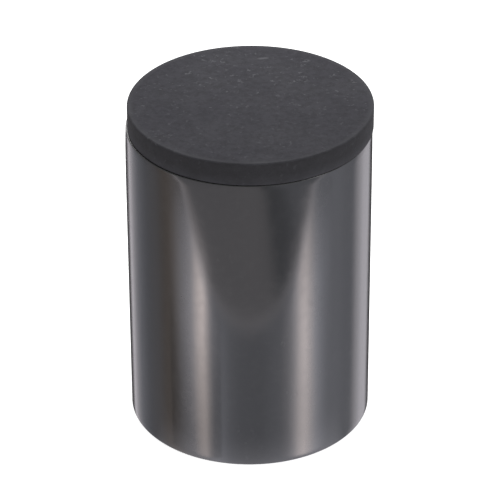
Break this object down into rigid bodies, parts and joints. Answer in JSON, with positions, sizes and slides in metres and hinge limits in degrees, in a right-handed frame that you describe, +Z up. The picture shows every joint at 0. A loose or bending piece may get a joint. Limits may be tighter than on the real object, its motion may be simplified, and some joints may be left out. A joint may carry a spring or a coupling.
{
  "type": "rock tumbler barrel",
  "caption": "Round plastic barrel with a rubber liner, lifter bars and a press-in rubber lid, which turns on rollers to tumble and polish stones.",
  "frame": {"origin": "centre of the foot, on the surface that the barrel stands on", "axes": "+Z up the barrel's axis towards the lid; the lifter bars stand on the X and Y axes"},
  "size_m": [0.1142, 0.1142, 0.1627],
  "materials": {
    "tube_plastic": "smooth extruded black plastic pipe with a soft gloss and faint handling marks",
    "base_plastic": "satin sawn and turned black plastic sheet",
    "liner_rubber": "matt black sheet rubber with a fine cloth-press texture",
    "lifter_rubber": "matt extruded black rubber",
    "ring_plastic": "satin grey plastic pipe ring",
    "lid_rubber": "matt black moulded rubber with a fine dusty grain and softly worn edges",
    "core_plastic": "satin light grey plastic disc",
    "pad_rubber": "matt black sheet rubber"
  },
  "bodies": {
    "barrel": {"barrel_tube": "tube_plastic", "base_disc": "base_plastic", "liner_floor": "liner_rubber", "liner_sleeve": "liner_rubber", "lifter_bar_1": "lifter_rubber", "lifter_bar_2": "lifter_rubber", "lifter_bar_3": "lifter_rubber", "lifter_bar_4": "lifter_rubber", "retaining_ring": "ring_plastic"},
    "lid": {"lid_cap": "lid_rubber", "lid_core": "core_plastic", "lid_inner_pad": "pad_rubber"}
  },
  "joints": [
    {"name": "lid_lift", "type": "slide", "parent": "barrel", "child": "lid", "axis": [0, 0, 1], "range_m": [0, 0.12]}
  ]
}
